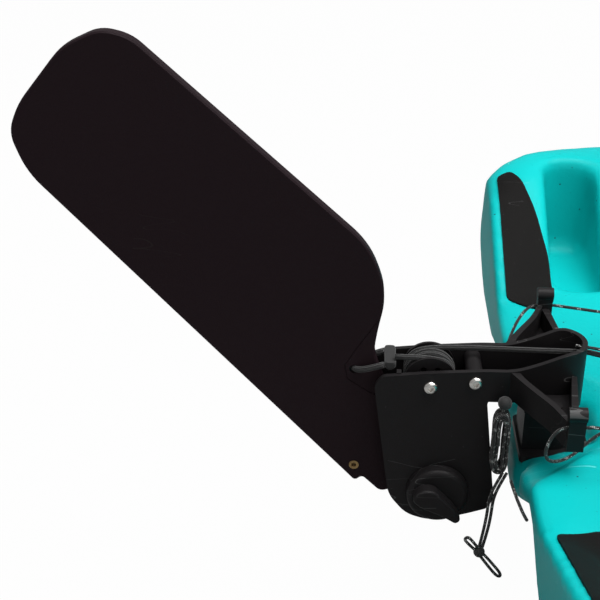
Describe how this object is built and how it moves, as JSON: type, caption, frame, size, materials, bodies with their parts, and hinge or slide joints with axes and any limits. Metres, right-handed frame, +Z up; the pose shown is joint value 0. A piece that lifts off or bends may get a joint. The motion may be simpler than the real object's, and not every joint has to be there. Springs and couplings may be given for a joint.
{
  "type": "pedal kayak",
  "caption": "Sit-on-top pedal kayak: rotomoulded hull, kick-up rudder steered by lines, swing-up pedal drive, folding mesh seat and bow hatch.",
  "frame": {"origin": "on the flat of the keel, halfway along the hull, at the level the hull rests on", "axes": "+X towards the bow, +Y to port, +Z up"},
  "size_m": [3.7012, 0.8856, 0.6403],
  "materials": {
    "hull_teal": "rotomoulded polyethylene, satin, small dark specks",
    "grip_black": "soft black moulded grip, fine grain",
    "black_plastic": "glass-filled nylon, satin",
    "blade_black": "satin black moulded plate",
    "stainless": "polished stainless",
    "brass_insert": "dull brass",
    "aluminium_black": "black anodised tube",
    "aluminium_bare": "satin anodised",
    "seal_rubber": "soft foam rubber",
    "line_black": "braided cord, black with white flecks",
    "cord_black": "thick braided cord",
    "seat_mesh": "woven sling mesh, bound edge",
    "pedal_grey": "moulded pedal",
    "prop_grey": "glass-filled nylon"
  },
  "bodies": {
    "hull": {"hull": "hull_teal", "stern_grip_port": "grip_black", "stern_grip_starboard": "grip_black", "carry_handles": "black_plastic", "deck_screws": "stainless", "deck_rails": "aluminium_black", "pad_eyes": "black_plastic", "scupper_plugs": "grip_black", "drain_plug": "black_plastic", "hatch_ring": "black_plastic", "hatch_seal": "seal_rubber", "hatch_hinge_pins": "stainless", "gudgeon": "black_plastic", "steering_pin": "stainless", "line_glands": "black_plastic", "steering_line_port": "line_black", "steering_line_starboard": "line_black", "lift_lines": "line_black", "control_base": "black_plastic", "tiller_cap": "black_plastic", "drive_cradle": "black_plastic", "drive_hinge_pin": "stainless", "seat_frame": "aluminium_bare", "seat_feet": "black_plastic", "seat_base_mesh": "seat_mesh", "seat_hinge_bolts": "stainless"},
    "hatch_cover": {"hatch_lid": "black_plastic"},
    "latch_port": {"hatch_latch_port": "black_plastic"},
    "latch_starboard": {"hatch_latch_starboard": "black_plastic"},
    "head": {"rudder_head": "black_plastic", "head_bushes": "black_plastic", "head_screws": "stainless", "head_nuts": "stainless", "head_spacer": "black_plastic", "lift_cord": "cord_black", "line_knots": "line_black", "blade_cord": "cord_black", "spare_line_hank": "line_black", "spare_line_tail": "line_black", "pivot_bolt": "stainless", "pivot_washers": "stainless"},
    "kick_blade": {"blade": "blade_black", "blade_insert": "brass_insert"},
    "knob": {"tension_knob": "black_plastic"},
    "pulley": {"sheave": "black_plastic"},
    "tiller": {"tiller_handle": "black_plastic"},
    "drive": {"drive_leg": "aluminium_black", "drive_housing_port": "black_plastic", "drive_housing_starboard": "black_plastic", "crank_bearings": "stainless"},
    "crank": {"crank_axle": "stainless", "crank_gear": "black_plastic", "crank_arms": "aluminium_bare"},
    "port_pedal": {"pedal_port": "pedal_grey"},
    "starboard_pedal": {"pedal_starboard": "pedal_grey"},
    "shaft": {"drive_shaft": "stainless"},
    "prop": {"propeller": "prop_grey", "prop_shaft": "stainless"},
    "seat_back": {"seat_back_frame": "aluminium_bare", "seat_back_mesh": "seat_mesh"}
  },
  "joints": [
    {"name": "hatch_open", "type": "hinge", "parent": "hull", "child": "hatch_cover", "pos_m": [1.3121, 0, 0.3578], "axis": [0, 1, 0], "range_deg": [0, 110]},
    {"name": "latch_port_turn", "type": "hinge", "parent": "hull", "child": "latch_port", "pos_m": [1.0618, 0.045, 0.3194], "axis": [-0.1132, 0, 0.9936], "range_deg": [-90, 0]},
    {"name": "latch_starboard_turn", "type": "hinge", "parent": "hull", "child": "latch_starboard", "pos_m": [1.0618, -0.045, 0.3194], "axis": [-0.1132, 0, 0.9936], "range_deg": [0, 90]},
    {"name": "rudder_steer", "type": "hinge", "parent": "hull", "child": "head", "pos_m": [-1.617, 0, 0.25], "axis": [0, 0, 1], "range_deg": [-35, 35], "deforming": ["steering_line_port", "steering_line_starboard", "lift_lines", "spare_line_hank", "spare_line_tail"]},
    {"name": "blade_tilt", "type": "hinge", "parent": "head", "child": "kick_blade", "pos_m": [-1.704, 0, 0.192], "axis": [0, -1, 0], "range_deg": [0, 134], "deforming": ["blade_cord"]},
    {"name": "knob_turn", "type": "hinge", "parent": "head", "child": "knob", "pos_m": [-1.704, -0.03, 0.192], "axis": [0, -1, 0], "continuous": true},
    {"name": "sheave_spin", "type": "hinge", "parent": "head", "child": "pulley", "pos_m": [-1.714, 0, 0.289], "axis": [0, 1, 0], "continuous": true},
    {"name": "tiller_turn", "type": "hinge", "parent": "hull", "child": "tiller", "pos_m": [-0.11, 0.384, 0.34], "axis": [0, 0, 1], "range_deg": [-42, 42]},
    {"name": "drive_tilt", "type": "hinge", "parent": "hull", "child": "drive", "pos_m": [0.47, 0, 0.24], "axis": [0, -1, 0], "range_deg": [0, 90]},
    {"name": "crank_spin", "type": "hinge", "parent": "drive", "child": "crank", "pos_m": [0.71, 0, 0.33], "axis": [0, 1, 0], "continuous": true},
    {"name": "pedal_port_spin", "type": "hinge", "parent": "crank", "child": "port_pedal", "pos_m": [0.598, 0.143, 0.33], "axis": [0, 1, 0], "continuous": true},
    {"name": "pedal_starboard_spin", "type": "hinge", "parent": "crank", "child": "starboard_pedal", "pos_m": [0.822, -0.143, 0.33], "axis": [0, 1, 0], "continuous": true},
    {"name": "shaft_spin", "type": "hinge", "parent": "drive", "child": "shaft", "pos_m": [0.4, 0, 0.33], "axis": [1, 0, 0], "continuous": true},
    {"name": "prop_spin", "type": "hinge", "parent": "drive", "child": "prop", "pos_m": [0.115, 0, 0.38], "axis": [0, 0, 1], "continuous": true},
    {"name": "seat_back_fold", "type": "hinge", "parent": "hull", "child": "seat_back", "pos_m": [-0.439, 0, 0.239], "axis": [0, 1, 0], "range_deg": [0, 98]}
  ],
  "couplings": [
    {"joint": "tiller_turn", "follows": "rudder_steer", "ratio": 1.2},
    {"joint": "shaft_spin", "follows": "crank_spin", "ratio": 4},
    {"joint": "prop_spin", "follows": "crank_spin", "ratio": 8}
  ]
}
